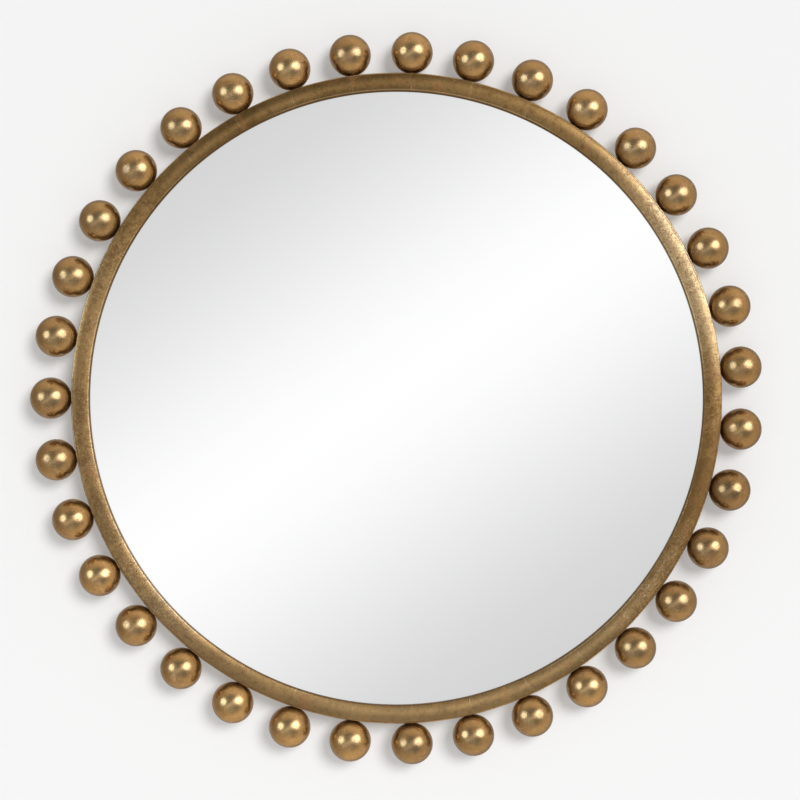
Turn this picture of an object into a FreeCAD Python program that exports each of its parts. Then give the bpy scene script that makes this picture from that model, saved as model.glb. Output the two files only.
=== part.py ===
import FreeCAD, Part
import math
import os
import re
import Sketcher
from FreeCAD import Placement, Rotation, Vector

# Round wall mirror with a gilded steel ring and a row of hollow steel balls welded round it.
#
# Frame: millimetres, +Z up, +X to the viewer's right, the front faces -Y. The origin is the mirror's
# centre on the wall plane, which is y = 0, so every depth below is measured forward from the wall.

SIZES = {
    # frame ring: a roll-formed steel band, open towards its own centre
    "ring_radius": (495.3, "outer wall of the ring"),
    "ring_depth": (45.5, "rear hem to the top of the crown"),
    "sheet_wall": (1.5, "thickness of the steel sheet"),
    "face_width": (28.4, "front face, opening to outer wall"),
    "crown_height": (2.5, "rise of the face between its edges"),
    "edge_radius": (2.0, "outside bend at both edges of the face"),
    "rear_bend_radius": (3.0, "outside bend between wall and hem"),
    "lip_depth": (4.5, "return lip behind the face, at the opening"),
    "hem_width": (12.0, "rear hem, inward from the outer wall"),
    # balls, each with the weld that holds it
    "ball_count": (35, "balls round the ring"),
    "ball_radius": (31.75, "outside of a ball"),
    "ball_wall": (1.5, "wall of the hollow ball"),
    "ball_clear": (1.25, "rear of a ball in front of the wall plane"),
    "ball_gap": (0.2, "between ball and ring where they are nearest"),
    "first_ball_angle": (180.0, "first ball, at nine o'clock"),
    "weld_radius": (8.0, "weld of a ball, where it leaves the ball"),
    "weld_toe": (9.5, "weld of a ball, at the ring"),
    "weld_gap": (0.1, "between a weld and the ring, so that pieces stay apart"),
    # glass, tape, board and the blocks that keep them centred
    "tape_wall": (1.0, "glazing tape between lip and glass"),
    "tape_width": (10.0, "radial width of the tape"),
    "tape_inset": (0.6, "tape kept back from the opening"),
    "glass_wall": (4.0, "mirror glass"),
    "glass_play": (2.0, "glass and board clear of the hem as they go in"),
    "glass_arris": (0.5, "ground edge of the glass"),
    "board_wall": (9.0, "backing board"),
    "block_count": (4, "setting blocks round the glass and board"),
    "first_block_angle": (45.0, "first setting block"),
    "block_length": (24.0, "block, along the ring"),
    "block_gap": (0.2, "between a block and the pieces that it keeps apart"),
    # retainer tabs and their screws
    "tab_count": (8, "tabs round the board"),
    "first_tab_angle": (22.5, "first tab"),
    "tab_angle": (3.0, "arc that a tab takes of the ring's wall"),
    "tab_wall": (1.5, "steel of the tab"),
    "tab_foot": (34.0, "foot over the board, from the ring's wall"),
    "tab_clear": (6.5, "end of a tab's leg to the ring's rear bend"),
    "tab_bend_radius": (3.0, "outside bend of the tab"),
    "screw_inset": (24.0, "screw from the ring's inner wall"),
    "screw_radius": (1.9, "screw shank"),
    "screw_length": (9.0, "under the head to the tip"),
    "screw_tip": (3.0, "length of the tapered tip"),
    "screw_tip_radius": (0.3, "blunt end of the tip"),
    "screw_head_radius": (4.0, "pan head"),
    "screw_head_height": (2.4, "pan head"),
    "screw_head_edge": (0.8, "straight side of the pan head"),
    "recess_span": (4.4, "cross recess in the head, tip to tip"),
    "recess_slot": (1.0, "width of a slot of the recess"),
    "recess_depth": (1.4, "recess, below the top of the head"),
    "hole_play": (0.05, "hole wider than its shank, on the radius"),
    # hangers
    "hanger_spacing": (610.0, "between the two loops"),
    "loop_headroom": (4.0, "top of a loop below the hem that it hangs behind"),
    "bracket_recess": (12.0, "bracket's rear face in front of the wall plane"),
    "bracket_wall": (3.0, "steel plate of the bracket"),
    "bracket_gap": (0.25, "between the plate and the ring's wall, filled by the weld"),
    "bracket_height": (52.0, "bracket plate, top to bottom"),
    "bracket_overhang": (18.0, "plate past the strap's middle"),
    "bracket_drop": (2.0, "plate's top edge below the hinge"),
    "bracket_corner": (8.0, "rounded inner corners of the plate"),
    "strap_width": (16.0, "hanger strap"),
    "strap_wall": (1.5, "one layer of the folded strap"),
    "strap_length": (50.0, "hinge to the strap's lower end"),
    "strap_corner": (6.0, "rounded lower corners of the strap"),
    "loop_wire_radius": (2.0, "wire of the loop"),
    "loop_play": (0.1, "loop in the strap's eye, on the radius"),
    "loop_half_width": (13.0, "middle of the loop to the wire's centre"),
    "loop_height": (26.0, "hinge to the top of the loop"),
    "loop_bend_radius": (4.0, "lower corners of the loop"),
    "rivet_radius": (2.4, "rivet shank"),
    "rivet_head_radius": (4.0, "domed rivet head"),
    "rivet_head_height": (2.0, "domed rivet head"),
    "rivet_upset_radius": (3.6, "upset end of the rivet"),
    "rivet_upset_height": (1.0, "upset end of the rivet"),
    "rivet_drop": (13.0, "hinge to the first rivet"),
    "rivet_pitch": (24.0, "between the two rivets"),
    # wall bumpers
    "bumper_count": (4, "bumpers on the hem"),
    "first_bumper_angle": (45.0, "first bumper"),
    "bumper_radius": (4.0, "bumper disc"),
    "bumper_wall": (2.5, "bumper disc, which stands on the wall plane"),
    "bumper_edge": (0.6, "bevel round the bumper's rear face"),
}

# Places that follow from the sizes. A depth y is negative, because the front faces -Y.
OPENING = "(ring_radius - face_width)"
INNER_WALL = "(ring_radius - sheet_wall)"
HEM_BORE = "(ring_radius - hem_width)"
HEM_BACK = "(-bumper_wall)"
CROWN_FRONT = "(-bumper_wall - ring_depth)"
FACE_EDGE = f"({CROWN_FRONT} + crown_height)"
FACE_MIDDLE = "(ring_radius - face_width / 2)"
CROWN_RADIUS = "(face_width ^ 2 / (8 * crown_height) + crown_height / 2)"
CROWN_CENTRE = f"({CROWN_FRONT} + {CROWN_RADIUS})"
BEND_REACH = "(face_width / 2 - edge_radius)"
BEND_CENTRE = f"({CROWN_CENTRE} - sqrt(({CROWN_RADIUS} - edge_radius) ^ 2 - {BEND_REACH} ^ 2))"
LIP_END = f"({FACE_EDGE} + lip_depth)"
GLASS_FRONT = f"({LIP_END} + tape_wall)"
GLASS_BACK = f"({GLASS_FRONT} + glass_wall)"
BOARD_BACK = f"({GLASS_BACK} + board_wall)"
TAB_BACK = f"({BOARD_BACK} + tab_wall)"
TAB_LEG = f"({HEM_BACK} - rear_bend_radius - tab_clear - {BOARD_BACK})"
GLASS_RADIUS = f"({HEM_BORE} - glass_play)"
BLOCK_WALL = f"sqrt(({INNER_WALL} - block_gap) ^ 2 - (block_length / 2) ^ 2)"
SCREW_CIRCLE = f"({INNER_WALL} - screw_inset)"
BALL_CIRCLE = "(ring_radius + ball_gap + ball_radius)"
BALL_DEPTH = "(-ball_clear - ball_radius)"
BUMPER_CIRCLE = "(ring_radius - (hem_width + rear_bend_radius) / 2)"
EYE_RADIUS = "(loop_wire_radius + loop_play)"
KNUCKLE_RADIUS = f"({EYE_RADIUS} + strap_wall)"
BRACKET_BACK = "(-bracket_recess)"
HINGE_DEPTH = f"({BRACKET_BACK} + {KNUCKLE_RADIUS})"
LOOP_CORNER = "(hanger_spacing / 2 + loop_half_width + loop_wire_radius)"
LOOP_REACH = "(loop_height + loop_wire_radius + loop_headroom)"
HINGE_HEIGHT = f"(sqrt({HEM_BORE} ^ 2 - {LOOP_CORNER} ^ 2) - {LOOP_REACH})"
STRAP_LEAF = "(2 * strap_wall)"
FULL_TURN = 360.0
TINY = 1e-3


def cells(formula):
    """Turns the names of sizes in a formula into references to the sheet's cells."""
    return re.sub(r"[a-z_]+", lambda word: f"Sizes.{word[0]}" if word[0] in SIZES else word[0], formula)


def write_sheet(doc):
    """Puts every driving dimension in a sheet, one row each: value and meaning."""
    sheet = doc.addObject("Spreadsheet::Sheet", "Sizes")
    for row, (name, (value, meaning)) in enumerate(SIZES.items(), start=1):
        sheet.set(f"A{row}", str(value))
        sheet.setAlias(f"A{row}", name)
        sheet.set(f"B{row}", meaning)
    doc.recompute()
    return sheet


def value_of(item, formula):
    """What a formula comes to with the sizes that the sheet holds now."""
    return float(item.evalExpression(cells(formula)))


def bind(item, field, formula):
    """Ties one size or coordinate of an object to the sheet."""
    item.setExpression(field, cells(formula))


def bind_constraint(sketch, kind, item, formula, point=None):
    """Adds a dimension to a sketch and ties it to the sheet."""
    places = (item,) if point is None else (item, point)
    index = sketch.addConstraint(Sketcher.Constraint(kind, *places, value_of(sketch, formula)))
    bind(sketch, f"Constraints[{index}]", formula)


def new_body(doc, label, x="0", y="0", z="0", turn=None):
    """Starts a piece, placed at (x, y, z) and turned about the mirror's axis by turn degrees."""
    body = doc.addObject("PartDesign::Body", label)
    body.Label = label
    for axis, formula in (("x", x), ("y", y), ("z", z)):
        bind(body, f"Placement.Base.{axis}", formula)
    if turn:
        body.Placement = Placement(Vector(), Rotation(Vector(0, 1, 0), value_of(body, turn)))
        bind(body, "Placement.Rotation.Angle", turn)
    return body


def origin_item(body, role):
    """One of the body's own origin planes or axes, such as XY_Plane or Y_Axis."""
    return next(item for item in body.Origin.OriginFeatures if item.Role == role)


def new_sketch(body, name, plane):
    sketch = body.newObject("Sketcher::SketchObject", f"{body.Label}_{name}")
    sketch.AttachmentSupport = [(origin_item(body, plane), "")]
    sketch.MapMode = "FlatFace"
    return sketch


def pin_point(sketch, item, end, x, y):
    """Ties both coordinates of a point of the sketch to the sheet."""
    bind_constraint(sketch, "DistanceX", item, x, end)
    bind_constraint(sketch, "DistanceY", item, y, end)


def arc_middle(start, end, radius, side, large):
    """The middle of an arc whose centre lies left (side 1) or right (side -1) of start to end."""
    chord = end - start
    left = Vector(-chord.y, chord.x, 0).normalize() * side
    rise = math.sqrt(max(radius ** 2 - (chord.Length / 2) ** 2, 0.0))
    centre = (start + end) * 0.5 + left * (-rise if large else rise)
    return centre - left * radius


def draw_outline(sketch, corners):
    """Draws a closed outline. A corner is (x, y), or (x, y, radius, side[, large]) before an arc."""
    points = [Vector(value_of(sketch, x), value_of(sketch, y), 0) for x, y, *_ in corners]
    ends = []
    for index, corner in enumerate(corners):
        start, end = points[index], points[(index + 1) % len(points)]
        if len(corner) == 2:
            item = sketch.addGeometry(Part.LineSegment(start, end))
        else:
            radius = value_of(sketch, corner[2])
            middle = arc_middle(start, end, radius, corner[3], "large" in corner[4:])
            item = sketch.addGeometry(Part.Arc(start, middle, end))
        forward = sketch.getPoint(item, 1).distanceToPoint(start) < TINY
        ends.append((item, 1, 2) if forward else (item, 2, 1))
    for index, (item, _, last) in enumerate(ends):
        following, first, _ = ends[(index + 1) % len(ends)]
        sketch.addConstraint(Sketcher.Constraint("Coincident", item, last, following, first))
    for (item, first, _), corner in zip(ends, corners):
        pin_point(sketch, item, first, corner[0], corner[1])
        if len(corner) > 2:
            set_arc_size(sketch, item, corner)


def set_arc_size(sketch, item, corner):
    """Ties an arc's radius to the sheet or, on a half circle, its centre to the line of its ends."""
    arc = sketch.Geometry[item]
    chord = arc.EndPoint - arc.StartPoint
    if chord.Length < 2 * arc.Radius - TINY:
        bind_constraint(sketch, "Radius", item, corner[2])
    elif abs(chord.y) > abs(chord.x):
        bind_constraint(sketch, "DistanceX", item, corner[0], 3)
    else:
        bind_constraint(sketch, "DistanceY", item, corner[1], 3)


def draw_circle(sketch, x, y, radius):
    centre = Vector(value_of(sketch, x), value_of(sketch, y), 0)
    item = sketch.addGeometry(Part.Circle(centre, Vector(0, 0, 1), value_of(sketch, radius)))
    pin_point(sketch, item, 3, x, y)
    bind_constraint(sketch, "Radius", item, radius)


def draw_axis(sketch, x, start, end):
    """Adds a construction line parallel to the sketch's vertical axis, to turn a profile about."""
    places = [Vector(value_of(sketch, x), value_of(sketch, y), 0) for y in (start, end)]
    item = sketch.addGeometry(Part.LineSegment(*places), True)
    pin_point(sketch, item, 1, x, start)
    pin_point(sketch, item, 2, x, end)


def outline(body, name, plane, corners):
    sketch = new_sketch(body, name, plane)
    draw_outline(sketch, corners)
    return sketch


def turned(body, sketch, axis, angle=None):
    """Revolves a profile about one of the body's axes, or about the sketch's own (Axis0)."""
    feature = body.newObject("PartDesign::Revolution", f"{sketch.Name}_turned")
    feature.Profile = sketch
    feature.ReferenceAxis = (sketch, [axis]) if axis == "Axis0" else (origin_item(body, axis), [""])
    feature.Angle = FULL_TURN
    if angle:
        feature.Midplane = True
        bind(feature, "Angle", angle)
    return feature


def padded(body, sketch, length, midplane=False):
    feature = body.newObject("PartDesign::Pad", f"{sketch.Name}_pad")
    feature.Profile = sketch
    feature.Midplane = midplane
    bind(feature, "Length", length)
    return feature


def round_pattern(body, count, *features):
    """Repeats features evenly round the mirror's axis."""
    pattern = body.newObject("PartDesign::PolarPattern", f"{features[0].Name}_round")
    pattern.Originals = list(features)
    pattern.Axis = (origin_item(body, "Y_Axis"), [""])
    pattern.Angle = FULL_TURN
    bind(pattern, "Occurrences", count)
    body.Tip = pattern
    return pattern


def drilled(body, sketch, depth, toward_front):
    """Cuts holes from the sketch's plane and refuses a cut that removes nothing."""
    body.Document.recompute()
    before = body.Shape.Volume
    pocket = body.newObject("PartDesign::Pocket", f"{sketch.Name}_holes")
    pocket.Profile = sketch
    pocket.Reversed = toward_front
    bind(pocket, "Length", depth)
    body.Document.recompute()
    if before - body.Shape.Volume < TINY:
        raise RuntimeError(f"{body.Label}: the holes cut nothing")
    return pocket


def filleted(body, feature, radius, test):
    """Rounds the edges of a feature whose midpoint and direction there pass a test."""
    body.Document.recompute()
    names = []
    for index, edge in enumerate(feature.Shape.Edges, start=1):
        middle = (edge.FirstParameter + edge.LastParameter) / 2
        if test(edge.valueAt(middle), edge.tangentAt(middle)):
            names.append(f"Edge{index}")
    fillet = body.newObject("PartDesign::Fillet", f"{feature.Name}_rounded")
    fillet.Base = (feature, names)
    bind(fillet, "Radius", radius)
    return fillet


def ring_skin(inset):
    """Half of the ring's section, lip to hem, along the sheet's face that lies inset from the outside."""
    stretch = f"(({CROWN_RADIUS} - {inset}) / ({CROWN_RADIUS} - edge_radius))"
    crown_y = f"{CROWN_CENTRE} - ({CROWN_CENTRE} - {BEND_CENTRE}) * {stretch}"
    edge = f"(edge_radius - {inset})"
    crown = f"({CROWN_RADIUS} - {inset})"
    rear = f"(rear_bend_radius - {inset})"
    return [
        ((f"{OPENING} + {inset}", LIP_END), None),
        ((f"{OPENING} + {inset}", BEND_CENTRE), edge),
        ((f"{FACE_MIDDLE} - {BEND_REACH} * {stretch}", crown_y), crown),
        ((f"{FACE_MIDDLE} + {BEND_REACH} * {stretch}", crown_y), edge),
        ((f"ring_radius - {inset}", BEND_CENTRE), None),
        ((f"ring_radius - {inset}", f"{HEM_BACK} - rear_bend_radius"), rear),
        (("ring_radius - rear_bend_radius", f"{HEM_BACK} - {inset}"), None),
        ((HEM_BORE, f"{HEM_BACK} - {inset}"), None),
    ]


def make_frame_ring(doc):
    """The roll-formed ring: lip, crowned face, wall and hem of one sheet, with concentric bends."""
    body = new_body(doc, "frame_ring")
    outside, inside = ring_skin("0"), ring_skin("sheet_wall")
    corners = [point if radius is None else (*point, radius, 1) for point, radius in outside]
    for (point, _), (_, radius) in zip(inside[::-1], inside[-2::-1] + [(None, None)]):
        corners.append(point if radius is None else (*point, radius, -1))
    turned(body, outline(body, "section", "XY_Plane", corners), "Y_Axis")
    return body


def make_ball(doc, index):
    """A hollow steel ball with its weld, a low collar that reaches to the ring's outer wall."""
    turn = f"(first_ball_angle - 360 / ball_count * {index})"
    body = new_body(doc, f"ball_{index + 1:02d}", f"{BALL_CIRCLE} * cos({turn})", BALL_DEPTH,
                    f"{BALL_CIRCLE} * sin({turn})", f"-{turn}")
    inside = "(ball_radius - ball_wall)"
    weld = f"({BALL_CIRCLE} - ring_radius - weld_gap)"
    half = outline(body, "half", "XY_Plane", [
        ("ball_radius", "0", "ball_radius", 1),
        ("-sqrt(ball_radius ^ 2 - weld_radius ^ 2)", "weld_radius"),
        (f"-{weld}", "weld_toe"),
        (f"-{weld}", "0"),
        (f"-{inside}", "0", inside, -1),
        (inside, "0"),
    ])
    turned(body, half, "X_Axis")
    return body


def make_disc(doc, label, corners):
    """A round plate or washer: a profile of straight runs turned about the mirror's axis."""
    body = new_body(doc, label)
    turned(body, outline(body, "profile", "XY_Plane", corners), "Y_Axis")
    return body


def make_glazing_tape(doc):
    bore = f"({OPENING} + tape_inset)"
    return make_disc(doc, "glazing_tape", [
        (bore, LIP_END),
        (f"{bore} + tape_width", LIP_END),
        (f"{bore} + tape_width", GLASS_FRONT),
        (bore, GLASS_FRONT),
    ])


def make_mirror_glass(doc):
    return make_disc(doc, "mirror_glass", [
        ("0", GLASS_FRONT),
        (f"{GLASS_RADIUS} - glass_arris", GLASS_FRONT),
        (GLASS_RADIUS, f"{GLASS_FRONT} + glass_arris"),
        (GLASS_RADIUS, f"{GLASS_BACK} - glass_arris"),
        (f"{GLASS_RADIUS} - glass_arris", GLASS_BACK),
        ("0", GLASS_BACK),
    ])


def make_backing_board(doc):
    """The board, with a pilot hole for each retainer screw."""
    body = new_body(doc, "backing_board", y=BOARD_BACK)
    disc = outline(body, "profile", "XY_Plane", [
        ("0", "0"),
        (GLASS_RADIUS, "0"),
        (GLASS_RADIUS, "-board_wall"),
        ("0", "-board_wall"),
    ])
    turned(body, disc, "Y_Axis")
    pilot = new_sketch(body, "pilot", "XZ_Plane")
    draw_circle(pilot, f"{SCREW_CIRCLE} * cos(first_tab_angle)", f"{SCREW_CIRCLE} * sin(first_tab_angle)",
                "screw_radius + hole_play")
    holes = drilled(body, pilot, "screw_length - tab_wall + hole_play", True)
    round_pattern(body, "tab_count", holes)
    return body


def make_setting_blocks(doc):
    """Rubber blocks, pushed in from the rear, that keep glass and board off the ring's wall."""
    body = new_body(doc, "setting_blocks", turn="-first_block_angle")
    inner_face = f"({GLASS_RADIUS} + block_gap)"
    section = outline(body, "section", "XY_Plane", [
        (inner_face, GLASS_FRONT),
        (BLOCK_WALL, GLASS_FRONT),
        (BLOCK_WALL, BOARD_BACK),
        (inner_face, BOARD_BACK),
    ])
    block = padded(body, section, "block_length", midplane=True)
    round_pattern(body, "block_count", block)
    return body


def make_retainer_tab(doc, index):
    """A steel tab welded to the ring's inner wall, its foot bent over the board and drilled."""
    body = new_body(doc, f"retainer_tab_{index + 1}", y=BOARD_BACK,
                    turn=f"-first_tab_angle - 360 / tab_count * {index}")
    wall = f"({INNER_WALL} - weld_gap)"
    section = outline(body, "section", "XY_Plane", [
        (f"{INNER_WALL} - tab_foot", "0"),
        (wall, "0"),
        (wall, TAB_LEG),
        (f"{wall} - tab_wall", TAB_LEG),
        (f"{wall} - tab_wall", "tab_wall"),
        (f"{INNER_WALL} - tab_foot", "tab_wall"),
    ])
    angle = turned(body, section, "Y_Axis", "tab_angle")
    heel = value_of(body, wall)
    filleted(body, angle, "tab_bend_radius", lambda point, along: abs(point.y) < TINY
             and abs(math.hypot(point.x, point.z) - heel) < TINY and abs(along.y) < TINY)
    hole = new_sketch(body, "hole", "XZ_Plane")
    draw_circle(hole, SCREW_CIRCLE, "0", "screw_radius + hole_play")
    drilled(body, hole, "tab_wall", False)
    return body


def make_retainer_screws(doc):
    """Pan-head screws through the tabs, all in one node."""
    body = new_body(doc, "retainer_screws", y=TAB_BACK, turn="-first_tab_angle")
    shank = f"({SCREW_CIRCLE} + screw_radius)"
    rim = f"({SCREW_CIRCLE} + screw_head_radius)"
    dome = "(screw_head_height - screw_head_edge)"
    half = outline(body, "half", "XY_Plane", [
        (SCREW_CIRCLE, "-screw_length"),
        (f"{SCREW_CIRCLE} + screw_tip_radius", "-screw_length"),
        (shank, "-screw_length + screw_tip"),
        (shank, "0"),
        (rim, "0"),
        (rim, "screw_head_edge", f"(screw_head_radius ^ 2 / {dome} + {dome}) / 2", 1),
        (SCREW_CIRCLE, "screw_head_height"),
    ])
    draw_axis(half, SCREW_CIRCLE, "-screw_length", "screw_head_height")
    screw = turned(body, half, "Axis0")
    cross = new_sketch(body, "cross", "XZ_Plane")
    bind(cross, "AttachmentOffset.Base.z", "-screw_head_height")
    span, slot = "recess_span / 2", "recess_slot / 2"
    quarter = [(slot, span), (slot, slot), (span, slot)]
    corners = []
    for x_sign, z_sign in ((1, 1), (1, -1), (-1, -1), (-1, 1)):
        run = quarter if x_sign == z_sign else quarter[::-1]
        corners += [(f"{SCREW_CIRCLE} + {x_sign} * {x}", f"{z_sign} * {z}") for x, z in run]
    draw_outline(cross, corners)
    recess = drilled(body, cross, "recess_depth", True)
    round_pattern(body, "tab_count", screw, recess)
    return body


def make_hanger_bracket(doc, side, sign):
    """A steel plate that reaches in from the ring's wall and carries one strap."""
    body = new_body(doc, f"hanger_bracket_{side}", y=BRACKET_BACK)
    wall = f"({INNER_WALL} - bracket_gap)"
    top = f"({HINGE_HEIGHT} - bracket_drop)"
    foot = f"({top} - bracket_height)"
    tip = "(hanger_spacing / 2 - bracket_overhang)"
    plate = outline(body, "plate", "XZ_Plane", [
        (f"{sign} * {tip}", top),
        (f"{sign} * {tip}", foot),
        (f"{sign} * sqrt({wall} ^ 2 - {foot} ^ 2)", foot, wall, sign),
        (f"{sign} * sqrt({wall} ^ 2 - {top} ^ 2)", top),
    ])
    slab = padded(body, plate, "bracket_wall")
    inner_end = value_of(body, f"{sign} * {tip}")
    filleted(body, slab, "bracket_corner", lambda point, along: abs(point.x - inner_end) < TINY
             and abs(along.y) > 1 - TINY)
    drill_rivet_holes(body, f"{sign} * hanger_spacing / 2", HINGE_HEIGHT, "bracket_wall", True)
    return body


def drill_rivet_holes(body, x, hinge, depth, toward_front):
    """Two holes below the hinge, the same in the bracket as in the strap."""
    holes = new_sketch(body, "rivet_holes", "XZ_Plane")
    draw_circle(holes, x, f"{hinge} - rivet_drop", "rivet_radius + hole_play")
    draw_circle(holes, x, f"{hinge} - rivet_drop - rivet_pitch", "rivet_radius + hole_play")
    drilled(body, holes, depth, toward_front)


def make_hanger_strap(doc, side, sign):
    """A steel strip folded round the loop: two layers riveted down, and an eye at the fold."""
    body = new_body(doc, f"hanger_strap_{side}", f"{sign} * hanger_spacing / 2", BRACKET_BACK, HINGE_HEIGHT)
    junction = f"-sqrt({KNUCKLE_RADIUS} ^ 2 - ({KNUCKLE_RADIUS} - {STRAP_LEAF}) ^ 2)"
    fold = outline(body, "fold", "YZ_Plane", [
        ("0", "0", KNUCKLE_RADIUS, -1, "large"),
        (STRAP_LEAF, junction),
        (STRAP_LEAF, "-strap_length"),
        ("0", "-strap_length"),
    ])
    draw_circle(fold, KNUCKLE_RADIUS, "0", EYE_RADIUS)
    strip = padded(body, fold, "strap_width", midplane=True)
    foot = value_of(body, "-strap_length")
    filleted(body, strip, "strap_corner", lambda point, along: abs(point.z - foot) < TINY
             and abs(along.y) > 1 - TINY)
    drill_rivet_holes(body, "0", "0", STRAP_LEAF, False)
    return body


def make_hanger_loop(doc, side, sign):
    """The D-shaped wire loop, centred on its hinge: a straight bar, two legs and a half round."""
    body = new_body(doc, f"hanger_loop_{side}", f"{sign} * hanger_spacing / 2", HINGE_DEPTH, HINGE_HEIGHT)
    shoulder = "(loop_height - loop_half_width)"
    bar = "(loop_half_width - loop_bend_radius)"
    spine = outline(body, "spine", "XZ_Plane", [
        ("0", "0"),
        (bar, "0", "loop_bend_radius", 1),
        ("loop_half_width", "loop_bend_radius"),
        ("loop_half_width", shoulder, "loop_half_width", 1),
        ("-loop_half_width", shoulder),
        ("-loop_half_width", "loop_bend_radius", "loop_bend_radius", 1),
        (f"-{bar}", "0"),
    ])
    wire = new_sketch(body, "wire", "YZ_Plane")
    draw_circle(wire, "0", "0", "loop_wire_radius")
    pipe = body.newObject("PartDesign::AdditivePipe", f"{body.Label}_pipe")
    pipe.Profile = wire
    pipe.Spine = (spine, [])
    return body


def make_hanger_rivets(doc, side, sign):
    """Two rivets with a domed head at the rear and a flat upset one in front of the bracket."""
    body = new_body(doc, f"hanger_rivets_{side}", f"{sign} * hanger_spacing / 2", BRACKET_BACK,
                    f"{HINGE_HEIGHT} - rivet_drop")
    dome = "(rivet_head_radius ^ 2 / rivet_head_height + rivet_head_height) / 2"
    half = outline(body, "half", "XY_Plane", [
        ("0", "-bracket_wall - rivet_upset_height"),
        ("rivet_upset_radius", "-bracket_wall - rivet_upset_height"),
        ("rivet_upset_radius", "-bracket_wall"),
        ("rivet_radius", "-bracket_wall"),
        ("rivet_radius", STRAP_LEAF),
        ("rivet_head_radius", STRAP_LEAF, dome, 1),
        ("0", f"{STRAP_LEAF} + rivet_head_height"),
    ])
    rivet = turned(body, half, "Y_Axis")
    row = body.newObject("PartDesign::LinearPattern", f"{body.Label}_row")
    row.Originals = [rivet]
    row.Direction = (origin_item(body, "Z_Axis"), [""])
    row.Reversed = True
    row.Occurrences = 2
    bind(row, "Length", "rivet_pitch")
    body.Tip = row
    return body


def make_wall_bumpers(doc):
    """Soft discs on the rear hem that keep the ring and the balls off the wall."""
    body = new_body(doc, "wall_bumpers", turn="-first_bumper_angle")
    half = outline(body, "half", "XY_Plane", [
        (BUMPER_CIRCLE, HEM_BACK),
        (f"{BUMPER_CIRCLE} + bumper_radius", HEM_BACK),
        (f"{BUMPER_CIRCLE} + bumper_radius", "-bumper_edge"),
        (f"{BUMPER_CIRCLE} + bumper_radius - bumper_edge", "0"),
        (BUMPER_CIRCLE, "0"),
    ])
    draw_axis(half, BUMPER_CIRCLE, HEM_BACK, "0")
    bumper = turned(body, half, "Axis0")
    round_pattern(body, "bumper_count", bumper)
    return body


def check_and_export(doc, bodies):
    """Refuses a failed feature or an unsound solid, then writes one STEP file for each piece."""
    for item in doc.Objects:
        if "Invalid" in item.State or "Error" in item.State:
            raise RuntimeError(f"{item.Label} failed: {item.State}")
    for body in bodies:
        if body.Shape.isNull() or not body.Shape.isValid() or not body.Shape.Solids:
            raise RuntimeError(f"{body.Label} is not a sound solid")
    os.makedirs("parts", exist_ok=True)
    for body in bodies:
        body.Shape.exportStep(f"parts/{body.Label}.step")


def main():
    doc = FreeCAD.newDocument("GirandoleMirror")
    write_sheet(doc)
    ball_count, tab_count = (int(SIZES[name][0]) for name in ("ball_count", "tab_count"))
    bodies = [make_frame_ring(doc)]
    bodies += [make_ball(doc, index) for index in range(ball_count)]
    bodies += [make(doc) for make in (make_glazing_tape, make_mirror_glass, make_backing_board,
                                      make_setting_blocks)]
    bodies += [make_retainer_tab(doc, index) for index in range(tab_count)]
    bodies += [make_retainer_screws(doc)]
    for make in (make_hanger_bracket, make_hanger_strap, make_hanger_rivets, make_hanger_loop):
        bodies += [make(doc, side, sign) for side, sign in (("left", -1), ("right", 1))]
    bodies += [make_wall_bumpers(doc)]
    doc.recompute()
    check_and_export(doc, bodies)


main()
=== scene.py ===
import math

import bmesh
import bpy
from mathutils import Matrix, Vector


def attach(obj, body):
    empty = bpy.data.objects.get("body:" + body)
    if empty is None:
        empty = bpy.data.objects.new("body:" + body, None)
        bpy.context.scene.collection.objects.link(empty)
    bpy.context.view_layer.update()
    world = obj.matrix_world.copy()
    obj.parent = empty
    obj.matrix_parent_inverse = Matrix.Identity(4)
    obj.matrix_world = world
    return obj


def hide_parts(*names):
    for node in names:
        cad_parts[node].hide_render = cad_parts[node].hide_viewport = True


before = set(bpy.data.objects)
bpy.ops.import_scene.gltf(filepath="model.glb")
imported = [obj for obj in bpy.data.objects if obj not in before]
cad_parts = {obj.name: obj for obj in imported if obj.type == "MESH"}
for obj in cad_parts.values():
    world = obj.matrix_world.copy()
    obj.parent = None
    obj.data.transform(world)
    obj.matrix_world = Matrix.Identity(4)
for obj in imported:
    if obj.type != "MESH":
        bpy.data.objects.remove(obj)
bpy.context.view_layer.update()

bl_info = {
    "name": "Ball-frame wall mirror",
    "version": (1, 0, 0),
    "blender": (4, 5, 0),
    "location": "3D View > Sidebar > Mirror",
    "description": "Gilds, glazes and finishes a round wall mirror with a row of balls on its ring",
    "category": "Object",
}

MM = 0.001
BALLS = sorted(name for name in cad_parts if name.startswith("ball_"))
TABS = sorted(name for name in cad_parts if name.startswith("retainer_tab_"))

RING_STEPS = 720  # facets round the ring
LEAVES_ROUND = 33  # leaves of gold laid end to end round the ring
WELD_GAP = 0.1 * MM  # between a ball's weld and the ring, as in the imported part
SHARP_ANGLE = math.radians(35)  # from here up, the edge between two faces is kept sharp


# ---------------------------------------------------------------- sizes and colours


def a_length(name, description, millimetres):
    return bpy.props.FloatProperty(
        name=name, description=description, default=millimetres * MM, unit="LENGTH")


def an_angle(name, description, degrees):
    return bpy.props.FloatProperty(
        name=name, description=description, default=math.radians(degrees), subtype="ANGLE")


def a_colour(name, description, *parts):
    return bpy.props.FloatVectorProperty(
        name=name, description=description, default=parts, subtype="COLOR")


def a_number(name, description, value):
    return bpy.props.FloatProperty(name=name, description=description, default=value)


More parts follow.
